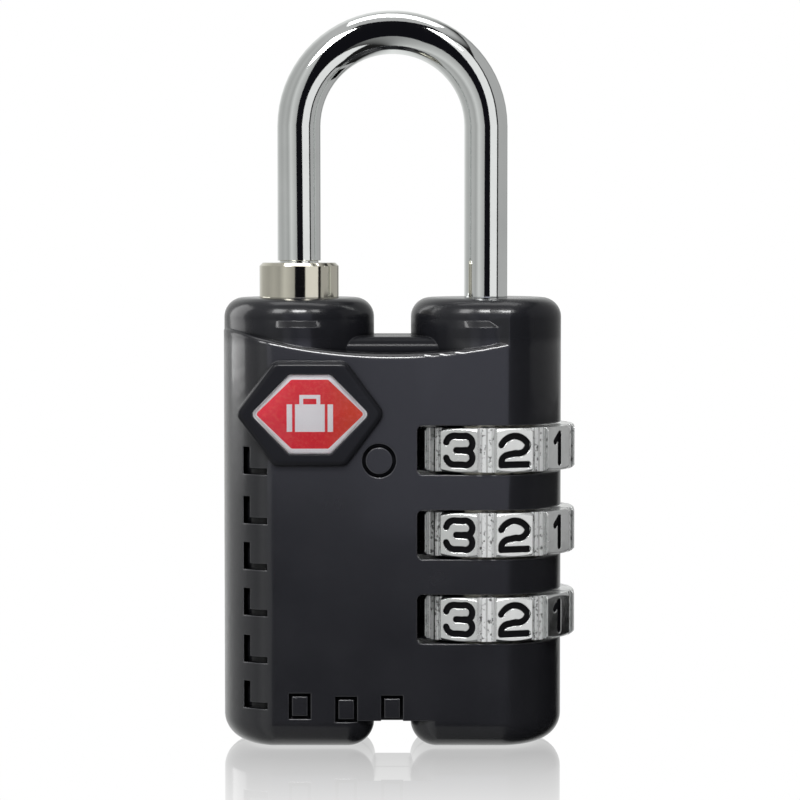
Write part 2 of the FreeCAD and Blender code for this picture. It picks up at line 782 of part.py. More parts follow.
def build_code_sleeves():
    """A tube with an inner disc, a gate through it for the shackle's lug and a rib for the ring's notches."""
    half = "sleeve_length / 2"
    disc_bore = "leg_radius + leg_clearance"
    outline = [
        ("sleeve_radius", f"-{half}"),
        ("sleeve_radius", half),
        ("chamber_radius", half),
        ("chamber_radius", "disc_half"),
        (disc_bore, "disc_half"),
        (disc_bore, "-disc_half"),
        ("chamber_radius", "-disc_half"),
        ("chamber_radius", f"-{half}"),
    ]
    for index, name in enumerate(DIAL_NAMES):
        z = dial_centre(index)
        tube = turned(f"Sleeve{index}", outline, z)
        # the rib stands in the notch behind the facet that faces the key column
        rib = polar_boxes("chamber_radius + 0.5", "rib_radius", "rib_width", f"{z} + 0.1", "1.8")[5]
        reach = "chamber_radius - leg_radius + 0.45"
        gate = box("-gate_width / 2", "leg_radius - 0.5", f"{z} - 2", "gate_width", reach, "4")
        subpart(f"code_sleeve_{name}", cut(fuse(tube, rib), gate))


# ---------------------------------------------------------------- springs


def build_springs():
    """The spring inside the long leg and the one under the bottom code sleeve."""
    subpart("lift_spring", coil("0.85", "0.13", "floor_thickness + 0.16", "spring_bore_top - 1.4", "0.8"))
    length = f"{dial_centre(0)} - sleeve_length / 2 - floor_thickness"
    subpart("reset_spring", coil("4.1", "0.25", "floor_thickness + 0.3", f"{length} - 0.6", "1.35"))


def build_click_spring():
    """A flat strip with three rounded noses that rest in the corner grooves of the rings."""
    strip = box("click_strip_x", "-4.1", "click_low", "click_thickness", "2.3", "click_high - click_low")
    pieces = [strip]
    angle = math.radians(ZERO_FACET_ANGLE + 180 / FACETS + 180)
    for index in range(len(DIAL_NAMES)):
        reach = "(click_nose_reach + click_nose_radius)"
        x = f"{reach} * {math.cos(angle):.9f}"
        y = f"{reach} * {math.sin(angle):.9f}"
        low = f"{dial_centre(index)} - 0.8"
        pieces.append(cylinder("click_nose_radius", "1.6", x=x, y=y, z=low))
        pieces.append(box("click_strip_x", f"{y} - 0.45", low, f"{x} - click_strip_x", "0.9", "1.6"))
    subpart("click_spring", fuse(*pieces))


# ---------------------------------------------------------------- key side


def build_key_plug():
    """The turning core: flange, keyway open at the foot, wafer slots and a stem up into the collar."""
    outline = [
        ("0", "plug_bottom"),
        ("plug_radius", "plug_bottom"),
        ("plug_radius", "flange_low"),
        ("flange_radius", "flange_low"),
        ("flange_radius", "flange_low + flange_thickness"),
        ("plug_radius", "flange_low + flange_thickness"),
        ("plug_radius", "plug_clip_low"),
        ("plug_clip_inner - 0.02", "plug_clip_low"),
        ("plug_clip_inner - 0.02", "plug_clip_low + 0.6"),
        ("plug_radius", "plug_clip_low + 0.6"),
        ("plug_radius", "plug_top"),
        ("stem_radius", "plug_top"),
        ("stem_radius", "stem_top"),
        ("0", "stem_top"),
    ]
    core = place(turned("PlugCore", outline), x="-column_spacing")
    x = "-column_spacing"
    left = f"{x} - keyway_depth / 2"
    tools = [box(left, "-keyway_width / 2", "0", "keyway_depth", "keyway_width", "keyway_top")]
    for index in range(4):
        low = f"wafer_low + {index} * wafer_pitch"
        tools.append(box(f"{x} - 5", "-wafer_width / 2", low, "10", "wafer_width", "wafer_thickness"))
    tools.append(drive_pin())
    subpart("key_plug", cut(core, *tools))


def build_wafers():
    """Four flat wafers at the height a key holds them, each with a window for the key."""
    wafers = []
    for index in range(4):
        low = f"wafer_low + {index} * wafer_pitch + 0.03"
        thickness = "wafer_thickness - 0.06"
        x = "-column_spacing"
        disc = cylinder("plug_radius - 0.05", thickness, x=x, z=low)
        bar = box(f"{x} - 5", "0.03 - wafer_width / 2", low, "10", "wafer_width - 0.06", thickness)
        left = f"{x} - keyway_depth / 2 + 0.3"
        window = box(left, "-keyway_width / 2", low, "keyway_depth - 0.6", "keyway_width", thickness)
        wafers.append(cut(common(disc, bar), window))
    subpart("key_wafers", together(*wafers))


def drive_pin():
    """A pin through the left wall of the plug's stem, into the collar's spiral slot."""
    root = "-column_spacing - 1"
    return cylinder("drive_pin_radius", "2.6", x=root, z="drive_pin_z", axis=(0, 1, 0), angle=-90)


def build_collar():
    """The sleeve that holds the short leg, with a spiral slot for the plug's pin and a straight one."""
    outline = [
        ("collar_skirt_bore", "collar_bottom"),
        ("collar_radius", "collar_bottom"),
        ("collar_radius", "collar_top - 0.3"),
        ("collar_radius - 0.3", "collar_top"),
        ("collar_mouth + 0.2", "collar_top"),
        ("collar_mouth", "collar_top - 0.2"),
        ("collar_mouth", "collar_step"),
        ("collar_skirt_bore", "collar_step"),
    ]
    shell = place(turned("CollarShell", outline), x="-column_spacing")
    slot = "(guide_pin_radius + pin_slack)"
    x = "-column_spacing"
    tools = [
        *spiral_slot(),
        box(f"{x} - {slot}", "2", "guide_pin_z", f"2 * {slot}", "3", "collar_drop"),
        cylinder(slot, "3", x=x, y="5", z="guide_pin_z", axis=(1, 0, 0), angle=90),
        cylinder(slot, "3", x=x, y="5", z="guide_pin_z + collar_drop", axis=(1, 0, 0), angle=90),
    ]
    subpart("release_collar", cut(shell, *tools))


def spiral_slot():
    """A quarter turn of spiral from the left side to the front, round-ended, rising by the collar's drop."""
    mean = "((collar_radius + collar_skirt_bore) / 2)"
    slot = "(drive_pin_radius + pin_slack)"
    helix = doc.addObject("Part::Helix", "Spiral")
    bind(helix, Radius=mean, Height="collar_drop", Pitch="4 * collar_drop")
    place(helix, x="-column_spacing", z="drive_pin_z", axis=(0, 0, 1), angle=180)
    slope = math.degrees(math.atan(number("4 * collar_drop") / (2 * math.pi * number(mean))))
    profile = bind(doc.addObject("Part::Plane", "SlotEnd"), Length="1.6", Width=f"2 * {slot}")
    # local X points outwards, local Y up the slot's width, across the spiral's direction
    half_turn = FreeCAD.Rotation(FreeCAD.Vector(0, 0, 1), 180)
    across = half_turn * FreeCAD.Rotation(FreeCAD.Vector(1, 0, 0), 90 + slope)
    middle = FreeCAD.Vector(-number("column_spacing"), 0, number("drive_pin_z"))
    corner = across.multVec(FreeCAD.Vector(number(mean) - 0.8, -number(slot), 0))
    profile.Placement = FreeCAD.Placement(middle + corner, across)
    channel = doc.addObject("Part::Sweep", "SpiralSlot")
    channel.Sections = [profile]
    channel.Spine = (helix, [])
    channel.Solid = True
    channel.Frenet = True
    end = f"{slot} + 0.03"
    top = "drive_pin_z + collar_drop"
    left_end = cylinder(end, "3", x="-column_spacing - 2", z="drive_pin_z", axis=(0, 1, 0), angle=-90)
    front_end = cylinder(end, "3", x="-column_spacing", y="-2", z=top, axis=(1, 0, 0), angle=90)
    return [channel, left_end, front_end]


def build_key_side():
    build_key_plug()
    build_wafers()
    x = "-column_spacing"
    clip = open_ring(x, "plug_clip_low + 0.03", "0.54", "plug_clip_inner", "plug_clip_radius", "4.2")
    subpart("plug_clip", clip)
    subpart("drive_pin", drive_pin())
    build_collar()
    pin = cylinder("guide_pin_radius", "2.55", x=x, y="5.5", z="guide_pin_z", axis=(1, 0, 0), angle=90)
    subpart("guide_pin", pin)


def check_and_export():
    """Stops on any object in error or piece without a valid solid, then writes each piece's STEP file."""
    doc.recompute()
    for item in doc.Objects:
        if "Invalid" in item.State or "Error" in item.State:
            raise RuntimeError(f"{item.Name} ({item.Label}) didn't compute: {item.State}")
    for item in subparts:
        if item.Shape.isNull() or not item.Shape.isValid() or not item.Shape.Solids:
            raise RuntimeError(f"{item.Label} has no valid solid")
    os.makedirs("parts", exist_ok=True)
    for item in subparts:
        item.Shape.exportStep(f"parts/{item.Label}.step")
        print(f"{item.Label}: {len(item.Shape.Solids)} solids, {item.Shape.Volume:.1f} mm3")


fill_sheet()
build_housing()
build_rivets()
build_badge()
build_shackle()
build_lug_pins()
build_leg_clip()
build_dial_rings()
build_code_sleeves()
build_springs()
build_click_spring()
build_key_side()
check_and_export()
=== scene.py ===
import bpy
import bmesh
import json
import math
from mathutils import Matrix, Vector

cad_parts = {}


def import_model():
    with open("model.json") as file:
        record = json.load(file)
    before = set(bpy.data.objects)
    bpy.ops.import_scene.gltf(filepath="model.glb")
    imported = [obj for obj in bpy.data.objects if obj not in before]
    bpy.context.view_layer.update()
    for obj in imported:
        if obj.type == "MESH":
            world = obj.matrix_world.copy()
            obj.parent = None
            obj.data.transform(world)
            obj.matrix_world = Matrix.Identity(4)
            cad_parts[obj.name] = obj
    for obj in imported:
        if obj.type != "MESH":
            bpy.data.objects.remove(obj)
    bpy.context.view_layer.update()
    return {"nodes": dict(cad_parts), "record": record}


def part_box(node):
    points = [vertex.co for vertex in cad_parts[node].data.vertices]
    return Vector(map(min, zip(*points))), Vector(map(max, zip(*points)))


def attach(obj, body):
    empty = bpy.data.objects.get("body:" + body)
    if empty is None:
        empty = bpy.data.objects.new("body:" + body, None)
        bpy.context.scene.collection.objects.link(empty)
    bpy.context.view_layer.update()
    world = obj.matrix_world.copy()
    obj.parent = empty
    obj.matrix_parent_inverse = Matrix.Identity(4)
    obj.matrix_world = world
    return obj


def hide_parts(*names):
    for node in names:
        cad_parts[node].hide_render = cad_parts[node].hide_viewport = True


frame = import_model()
nodes = frame["nodes"]

MM = 0.001
WHITE = (1, 1, 1)
BLACK = (0, 0, 0)


def box_middle(node):
    """The centre of a CAD node's box."""
    low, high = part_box(node)
    return (low + high) / 2


# The dials turn round the z axis. The shackle's box spans both columns, so its middle is the lock's.
MIDDLE = box_middle("shackle").x
BADGE_X = box_middle("badge_enamel").x
DIAL_LOW = box_middle("dial_ring_bottom").z
DIAL_PITCH = box_middle("dial_ring_middle").z - DIAL_LOW


# ------------------------------------------------------------------ node helpers
class Tree:
    """A node tree, with short calls for the nodes used here."""

    def __init__(self, tree):
        self.tree = tree
        self.tree.nodes.clear()

    def new(self, kind):
        return self.tree.nodes.new("ShaderNode" + kind)

    def link(self, source, target):
        self.tree.links.new(source, target)

    def feed(self, value, socket):
        """Links a node's output to an input, or sets the input to a plain value."""
        if isinstance(value, bpy.types.NodeSocket):
            self.link(value, socket)
        else:
            socket.default_value = value

    def math(self, operation, a, b=0.0, clamp=False):
        node = self.new("Math")
        node.operation = operation
        node.use_clamp = clamp
        self.feed(a, node.inputs[0])
        self.feed(b, node.inputs[1])
        return node.outputs[0]

    def times(self, first, *others):
        product = first
        for value in others:
            product = self.math("MULTIPLY", product, value)
        return product

    def rest(self, share):
        """What is left of 1 after a share."""
        return self.math("SUBTRACT", 1.0, share)

    def below(self, value, limit):
        return self.math("LESS_THAN", value, limit)

    def above(self, value, limit):
        return self.math("GREATER_THAN", value, limit)

    def apart(self, a, b):
        """How far two values are from each other."""
        return self.math("ABSOLUTE", self.math("SUBTRACT", a, b))

    def split(self, vector):
        node = self.new("SeparateXYZ")
        self.link(vector, node.inputs[0])
        return node.outputs

    def ramp(self, value, stops, smooth=False):
        """A colour ramp through (position, colour or grey) stops."""
        node = self.new("ValToRGB")
        node.color_ramp.interpolation = "EASE" if smooth else "LINEAR"
        while len(node.color_ramp.elements) < len(stops):
            node.color_ramp.elements.new(0.5)
        for element, (place, colour) in zip(node.color_ramp.elements, stops):
            element.position = place
            element.color = (colour,) * 3 + (1,) if isinstance(colour, (int, float)) else (*colour, 1)
        self.link(value, node.inputs[0])
        return node.outputs[0]

    def ramp_mm(self, length, span, stops):
        """A ramp along a length from 0 to a span, with the span and the stops in millimetres."""
        share = self.times(length, 1 / (span * MM))
        return self.ramp(share, [(place / span, grey) for place, grey in stops])

    def mix(self, share, a, b):
        """One colour where the share is 0 and the other where it is 1."""
        node = self.new("Mix")
        node.data_type = "RGBA"
        self.feed(share, node.inputs["Factor"])
        self.feed((*a, 1) if isinstance(a, tuple) else a, node.inputs["A"])
        self.feed((*b, 1) if isinstance(b, tuple) else b, node.inputs["B"])
        return node.outputs["Result"]

    def blend(self, share, a, b):
        """One shader where the share is 0 and the other where it is 1."""
        node = self.new("MixShader")
        self.link(share, node.inputs[0])
        self.link(a, node.inputs[1])
        self.link(b, node.inputs[2])
        return node.outputs[0]

    def ray(self, kind):
        """1 for one kind of ray, such as Camera or Singular, and 0 for the others."""
        return self.new("LightPath").outputs[f"Is {kind} Ray"]


class Surface(Tree):
    """A material with one principled shader, patterned by its piece's own coordinates."""

    def __init__(self, name):
        self.material = bpy.data.materials.new(name)
        self.material.use_nodes = True
        super().__init__(self.material.node_tree)
        self.output = self.new("OutputMaterial")
        self.shader = self.new("BsdfPrincipled")
        self.show(self.shader.outputs[0])
        self.position = self.new("TexCoord").outputs["Object"]

    def show(self, shader):
        """Makes a shader the material's surface."""
        self.link(shader, self.output.inputs["Surface"])

    def set(self, **values):
        """Sets or links inputs of the principled shader by name, with _ for a space."""
        for name, value in values.items():
            self.feed(value, self.shader.inputs[name.replace("_", " ")])

    def stretch(self, scale):
        node = self.new("Mapping")
        node.inputs["Scale"].default_value = scale
        self.link(self.position, node.inputs[0])
        return node.outputs[0]

    def noise(self, scale, detail, rough, vector=None):
        node = self.new("TexNoise")
        node.inputs["Scale"].default_value = scale
        node.inputs["Detail"].default_value = detail
        node.inputs["Roughness"].default_value = rough
        self.link(vector or self.position, node.inputs["Vector"])
        return node.outputs[0]

    def rounded(self, radius):
        """A normal that rounds every edge by a radius."""
        node = self.new("Bevel")
        node.samples = 6
        node.inputs["Radius"].default_value = radius
        return node.outputs[0]

    def edge(self, radius):
        """A mask that is above 0 along sharp edges and 0 elsewhere."""
        dot = self.new("VectorMath")
        dot.operation = "DOT_PRODUCT"
        self.link(self.rounded(radius), dot.inputs[0])
        self.link(self.new("NewGeometry").outputs["Normal"], dot.inputs[1])
        return self.math("MULTIPLY", self.rest(dot.outputs["Value"]), 4.0, clamp=True)

    def open_share(self, reach):
        """1 on open surfaces, falling towards 0 in the corners of narrow grooves."""
        node = self.new("AmbientOcclusion")
        node.samples = 6
        node.only_local = True
        node.inputs["Distance"].default_value = reach
        return self.ramp(node.outputs["AO"], [(0.42, 0.0), (0.72, 1.0)])

    def bump(self, height, distance, strength, normal=None):
        node = self.new("Bump")
        node.inputs["Strength"].default_value = strength
        node.inputs["Distance"].default_value = distance
        self.link(height, node.inputs["Height"])
        if normal:
            self.link(normal, node.inputs["Normal"])
        return node.outputs[0]


# ------------------------------------------------------------------ materials
BEZEL_START = 7.75 * MM
RECESS_HALF_DEPTH = 7.0 * MM


def black_paint():
    """Stoved black paint: satin, faintly pebbled, darkened by painted shade in the grooves, rubbed thin
    along the sharp edges, where the pale rub is also a painted edge highlight.
    """
    t = Surface("black_paint")
    x, y, z = t.split(t.position)
    pebbles = t.noise(900, 3, 0.5)
    cloud = t.noise(120, 4, 0.6)
    # painted shade: the paint turns black and loses its shine in the corners of narrow grooves
    lit = t.open_share(0.7 * MM)
    # rubbed paint along the sharp edges, lightened further as a painted edge highlight
    wear_and_edge_highlight = t.times(t.edge(0.2 * MM), t.ramp(t.noise(420, 5, 0.7), [(0.3, 0.3), (0.7, 1.0)]))
    paint = t.mix(cloud, (0.006, 0.0062, 0.0075), (0.01, 0.0102, 0.012))
    paint = t.mix(t.times(wear_and_edge_highlight, 0.34), paint, (0.16, 0.16, 0.17))

    # less shine on the badge's bezel; painted shade dims the shine in the recess between the columns' tops
    # and round those tops
    bezel = t.times(t.below(y, -BEZEL_START), 0.8)
    between = t.ramp_mm(t.apart(x, MIDDLE), 10, [(4.8, 1.0), (6.6, 0.0)])
    recess = t.times(between, t.ramp_mm(z, 50, [(34.5, 0.0), (35.0, 1.0), (38.5, 1.0), (40.0, 0.0)]))
    recess = t.times(recess, t.below(t.math("ABSOLUTE", y), RECESS_HALF_DEPTH))
    tops = t.ramp_mm(z, 50, [(36.75, 0.0), (37.5, 0.6), (39.2, 0.6), (39.5, 0.5)])
    painted_shade = t.math("MAXIMUM", t.times(recess, 0.9), tops)
    shine = t.times(lit, t.rest(bezel), t.rest(painted_shade))
    t.set(
        Base_Color=t.mix(lit, BLACK, paint),
        Roughness=t.ramp(cloud, [(0.25, 0.2), (0.8, 0.3)]),
        Specular_IOR_Level=t.times(shine, 0.45),
        Coat_Weight=t.times(shine, 0.35),
        Coat_Roughness=0.07,
        Normal=t.bump(pebbles, 0.02 * MM, 0.22, t.rounded(0.18 * MM)),
    )
    return t.material


def bright_metal(name, colour, low, high, grain, stretch=(1, 1, 0.12)):
    """Plated or drawn metal, between two roughnesses, with a fine grain drawn out along one axis."""
    t = Surface(name)
    lines = t.noise(grain, 5, 0.65, t.stretch(stretch))
    cloud = t.noise(grain * 0.12, 4, 0.6)
    t.set(
        Base_Color=t.mix(t.ramp(cloud, [(0.3, 0.0), (0.8, 1.0)]), colour, tuple(c * 0.9 for c in colour)),
        Metallic=1.0,
        Roughness=t.ramp(lines, [(0.3, low), (0.75, high)]),
        Normal=t.bump(lines, 0.004 * MM, 0.3, t.rounded(0.1 * MM)),
    )
    return t.material


FACET_ANGLE = math.radians(36)
ZERO_FACET = math.radians(-0.6)
FACET_REACH = 8.2 * MM
DIGIT_SKIN, DIGIT_FLOOR = 0.04 * MM, 0.3 * MM
DIGIT_HALF_WIDTH, DIGIT_HALF_HEIGHT = 1.52 * MM, 1.66 * MM
CORNER_START, CORNER_END = 1.8 * MM, 2.42 * MM


def dial_metal():
    """Cast and plated ring: bright facets, stippled corner grooves, black paint in the digits."""
    t = Surface("dial_metal")
    x, y, z = t.split(t.position)

    # a point's place on its facet: out from the axis, to the side, and up or down from the middle
    reach = t.math("SQRT", t.math("ADD", t.times(x, x), t.times(y, y)))
    turn = t.math("ADD", t.math("ARCTAN2", y, x), FACET_ANGLE / 2 - ZERO_FACET + 4 * math.pi)
    angle = t.math("SUBTRACT", t.math("FLOORED_MODULO", turn, FACET_ANGLE), FACET_ANGLE / 2)
    out = t.times(reach, t.math("COSINE", angle))
    side = t.math("ABSOLUTE", t.times(reach, t.math("SINE", angle)))
    height = t.math("ADD", z, DIAL_PITCH / 2 - DIAL_LOW)
    level = t.apart(t.math("FLOORED_MODULO", height, DIAL_PITCH), DIAL_PITCH / 2)

    sunk = t.times(t.below(out, FACET_REACH - DIGIT_SKIN), t.above(out, FACET_REACH - DIGIT_FLOOR))
    paint = t.times(sunk, t.below(side, DIGIT_HALF_WIDTH), t.below(level, DIGIT_HALF_HEIGHT))
    groove = t.times(t.above(side, CORNER_START), t.below(side, CORNER_END))
    cloud = t.noise(500, 4, 0.6)
    stipple = t.noise(2600, 3, 0.6)
    dirt = t.times(groove, t.rest(t.ramp(stipple, [(0.35, 0.0), (0.45, 1.0)])))
    metal = t.mix(cloud, (0.84, 0.85, 0.84), (0.62, 0.63, 0.63))
    metal = t.mix(groove, metal, (0.93, 0.94, 0.94))
    metal = t.mix(t.times(dirt, 0.85), metal, (0.04, 0.04, 0.04))
    rough = t.ramp(t.noise(700, 4, 0.6), [(0.3, 0.16), (0.75, 0.3)])
    rough = t.math("MAXIMUM", rough, t.times(groove, 0.5))
    relief = t.math("ADD", t.times(cloud, 0.15), t.times(groove, stipple, 0.6))
    t.set(
        Base_Color=t.mix(paint, metal, (0.003, 0.003, 0.004)),
        Metallic=t.rest(paint),
        Specular_IOR_Level=t.math("SUBTRACT", 0.5, t.times(paint, 0.4)),
        Roughness=t.math("MAXIMUM", t.times(paint, 0.5), rough),
        Normal=t.bump(relief, 0.08 * MM, 0.3, t.rounded(0.14 * MM)),
    )
    return t.material


def enamel():
    """Red enamel, crimson to orange across the badge, with a slight ripple."""
    t = Surface("badge_red")
    x = t.split(t.position)[0]
    span = 8 * MM
    across = t.times(t.math("ADD", x, span / 2 - BADGE_X), 1 / span)
    red = t.ramp(
        across,
        [(0.0, (0.88, 0.022, 0.05)), (0.55, (0.82, 0.018, 0.035)), (1.0, (0.76, 0.05, 0.02))],
        smooth=True,
    )
    flakes = t.ramp(t.noise(3000, 2, 0.5), [(0.45, 0.0), (0.75, 0.3)])
    t.set(
        Base_Color=t.mix(flakes, red, (0.95, 0.14, 0.11)),
        Roughness=t.ramp(t.noise(700, 3, 0.5), [(0.3, 0.1), (0.8, 0.2)]),
        Normal=t.bump(t.noise(900, 3, 0.5), 0.02 * MM, 0.3),
    )
    return t.material


def white_plastic():
    """Faintly clouded white plastic with a fine grain."""
    t = Surface("badge_white")
    grain = t.noise(2200, 3, 0.5)
    t.set(
        Base_Color=t.mix(t.noise(300, 3, 0.5), (0.95, 0.95, 0.97), (0.9, 0.9, 0.93)),
        Roughness=t.ramp(grain, [(0.3, 0.18), (0.8, 0.3)]),
        Normal=t.bump(grain, 0.01 * MM, 0.3, t.rounded(0.08 * MM)),
    )
    return t.material


def clear_plastic():
    """A clear dome: see-through, with a coat of faint reflections that grows towards its edge."""
    t = Surface("badge_clear")
    t.tree.nodes.remove(t.shader)
    ripple = t.bump(t.noise(160, 2, 0.4), 0.03 * MM, 0.25)
    fresnel = t.new("Fresnel")
    fresnel.inputs["IOR"].default_value = 1.42
    t.link(ripple, fresnel.inputs["Normal"])
    clear = t.new("BsdfTransparent")
    t.feed(t.mix(t.noise(500, 2, 0.5), (0.97, 0.97, 0.98), WHITE), clear.inputs["Color"])
    gloss = t.new("BsdfGlossy")
    t.feed(t.ramp(t.noise(800, 4, 0.6), [(0.4, 0.02), (0.9, 0.07)]), gloss.inputs["Roughness"])
    t.link(ripple, gloss.inputs["Normal"])
    share = t.math("MULTIPLY", fresnel.outputs[0], 0.85, clamp=True)
    t.show(t.blend(share, clear.outputs[0], gloss.outputs[0]))
    return t.material


LOOKS = {
    "black_paint": black_paint(),
    "chrome_bar": bright_metal("chrome_bar", (0.86, 0.88, 0.87), 0.03, 0.07, 1500),
    "dial_metal": dial_metal(),
    "nickel": bright_metal("nickel", (0.76, 0.73, 0.62), 0.05, 0.13, 1800, stretch=(1, 1, 0.3)),
    "brass": bright_metal("brass", (0.72, 0.53, 0.26), 0.2, 0.36, 1600, stretch=(0.2, 0.2, 1)),
    "spring_steel": bright_metal("spring_steel", (0.5, 0.5, 0.52), 0.2, 0.35, 2400),
    "badge_red": enamel(),
    "badge_white": white_plastic(),
    "badge_clear": clear_plastic(),
}


def dress(piece, look):
    """Gives every slot of a piece one material."""
    if not piece.data.materials:
        piece.data.materials.append(look)
    for slot in piece.material_slots:
        slot.material = look


def smooth(piece, split_angle):
    """Smooth faces, parted at edges that are sharper than an angle."""
    piece.data.polygons.foreach_set("use_smooth", [True] * len(piece.data.polygons))
    part = piece.modifiers.new("part", "EDGE_SPLIT")
    part.split_angle = math.radians(split_angle)


def soften(piece):
    """Smooth shading for a CAD node, with its broad faces kept flat."""
    weld = piece.modifiers.new("weld", "WELD")
    weld.merge_threshold = 0.001 * MM
    smooth(piece, 28)
    even = piece.modifiers.new("even", "WEIGHTED_NORMAL")
    even.keep_sharp = True
    even.weight = 80


for entry in frame["record"]["subparts"]:
    node = nodes[entry["node"]]
    dress(node, LOOKS[entry["material_slot"]])
    soften(node)


# ------------------------------------------------------------------ domed badge cover
HEXAGON_FLAT = 0.36
HEXAGON_CORNER = 0.5 * MM
DOME_SHOULDER, DOME_RIM, DOME_RISE = 0.97, 0.25 * MM, 0.3 * MM
DOME_RINGS = 14
DOME_GAP = 0.01 * MM


def rounded_hexagon(half_width, half_height, half_flat, reach, steps=6):
    """Points (x, z) of a flat-topped hexagon whose corners are rounded over a distance along each side."""
    corners = [Vector(c) for c in ((-half_width, 0), (-half_flat, half_height), (half_flat, half_height),
                                   (half_width, 0), (half_flat, -half_height), (-half_flat, -half_height))]
    points = []
    for i, corner in enumerate(corners):
        start = corner + (corners[i - 1] - corner).normalized() * reach
        end = corner + (corners[(i + 1) % 6] - corner).normalized() * reach
        for k in range(steps + 1):
            u = k / steps
            points.append(start * (1 - u) ** 2 + corner * 2 * u * (1 - u) + end * u * u)
    return points


def dome_profile():
    """(share of the outline, height over the back) up the lens: a rim, a shoulder, then a shallow dome."""
    profile = [(1.0, 0.0), (1.0, 0.14 * MM), (0.992, 0.2 * MM), (DOME_SHOULDER, DOME_RIM)]
    for k in range(1, DOME_RINGS):
        inward = k / DOME_RINGS
        profile.append((DOME_SHOULDER * (1 - inward), DOME_RIM + DOME_RISE * (1 - (1 - inward) ** 2)))
    return profile


def badge_dome():
    """A clear lens over the badge, thick in the middle, in place of the flat cover."""
    low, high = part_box("badge_cover")
    middle = box_middle("badge_cover")
    half_width, half_height = (high.x - low.x) / 2, (high.z - low.z) / 2
    outline = rounded_hexagon(half_width, half_height, half_width * HEXAGON_FLAT, HEXAGON_CORNER)
    back = high.y - DOME_GAP
    mesh = bmesh.new()
    rings = []
    for share, rise in dome_profile():
        places = [(middle.x + p.x * share, back - rise, middle.z + p.y * share) for p in outline]
        rings.append([mesh.verts.new(place) for place in places])
    crown = mesh.verts.new((middle.x, back - DOME_RIM - DOME_RISE, middle.z))
    base = mesh.verts.new((middle.x, back, middle.z))
    for i in range(len(outline)):
        j = (i + 1) % len(outline)
        for lower, upper in zip(rings, rings[1:]):
            mesh.faces.new((lower[i], lower[j], upper[j], upper[i]))
        mesh.faces.new((rings[-1][i], rings[-1][j], crown))
        mesh.faces.new((rings[0][j], rings[0][i], base))
    bmesh.ops.recalc_face_normals(mesh, faces=mesh.faces)
    data = bpy.data.meshes.new("badge_dome")
    mesh.to_mesh(data)
    mesh.free()
    piece = bpy.data.objects.new("badge_dome", data)
    bpy.context.scene.collection.objects.link(piece)
    dress(piece, LOOKS["badge_clear"])
    smooth(piece, 50)
    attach(piece, "housing")
    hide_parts("badge_cover")


badge_dome()


# ------------------------------------------------------------------ studio
def world():
    """White to the camera and in perfect mirrors.

    Other reflections see walls that are pale on the left, and dark on the right and where the camera stands.
    """
    scene = bpy.context.scene
    scene.world = bpy.data.worlds.new("studio")
    scene.world.use_nodes = True
    t = Tree(scene.world.node_tree)
    x, y, z = t.split(t.new("TexCoord").outputs["Generated"])

    # the walls' greys by direction, in degrees to the right of the front
    azimuth = t.times(t.math("ARCTAN2", x, t.times(y, -1.0)), 180 / math.pi)
    greys = [(-180, 0.85), (-150, 0.7), (-130, 0.5), (-100, 0.42), (-78, 0.48), (-58, 0.4), (-41, 0.66),
             (-24, 0.52), (-10, 0.4), (20, 0.03), (26, 0.012), (146, 0.012), (160, 0.5), (180, 0.85)]
    stops = [((angle + 180) / 360, (grey, grey * 1.01, grey)) for angle, grey in greys]
    walls = t.ramp(t.math("DIVIDE", t.math("ADD", azimuth, 180.0), 360.0), stops)
    overhead = t.math("MULTIPLY", t.math("SUBTRACT", z, 0.72), 8.0, clamp=True)
    walls = t.mix(overhead, walls, (0.5, 0.5, 0.5))

    # a dark gap in front, wider towards its top
    rise = t.math("MULTIPLY", t.math("SUBTRACT", z, 0.1), 2.0, clamp=True)
    half_width = t.math("ADD", t.times(rise, 22.0), 15.0)
    gap = t.times(t.below(t.apart(azimuth, 4.0), half_width), t.below(z, 0.86), t.above(z, -0.4))
    reflected = t.new("Background")
    t.link(t.mix(gap, walls, (0.006, 0.006, 0.008)), reflected.inputs[0])
    seen = t.new("Background")
    seen.inputs[0].default_value = (*WHITE, 1)
    direct = t.math("MAXIMUM", t.ray("Camera"), t.ray("Singular"))
    studio = t.blend(direct, reflected.outputs[0], seen.outputs[0])
    t.link(studio, t.new("OutputWorld").inputs[0])


def sheet(name, corners, material):
    """One flat face of the stage."""
    mesh = bpy.data.meshes.new(name)
    mesh.from_pydata(corners, [], [tuple(range(len(corners)))])
    piece = bpy.data.objects.new(name, mesh)
    bpy.context.scene.collection.objects.link(piece)
    piece.data.materials.append(material)
    return piece


def floor():
    """A white sheet that gives a mirror image of the feet, fading away from them."""
    t = Surface("floor")
    t.set(Base_Color=t.mix(t.noise(30, 2, 0.5), (0.8, 0.8, 0.81), (0.84, 0.84, 0.84)), Roughness=0.6)
    x, y = t.split(t.position)[:2]
    across = t.math("SUBTRACT", x, MIDDLE)
    reach = t.math("SQRT", t.math("ADD", t.times(across, across, 0.15), t.times(y, y)))
    share = t.ramp_mm(reach, 60, [(4.8, 0.57), (18, 0.42), (36, 0.24), (60, 0.0)])
    mirror = t.new("BsdfGlossy")
    mirror.inputs["Roughness"].default_value = 0.0
    mirror.inputs["Color"].default_value = (*WHITE, 1)
    pane = t.blend(share, t.new("Emission").outputs[0], mirror.outputs[0])
    t.show(t.blend(t.ray("Camera"), t.shader.outputs[0], pane))
    half, top = 3.0, -0.15 * MM
    corners = [(-half, -half, top), (half, -half, top), (half, half, top), (-half, half, top)]
    base = sheet("floor", corners, t.material)
    base.visible_glossy = base.visible_shadow = base.visible_transmission = False


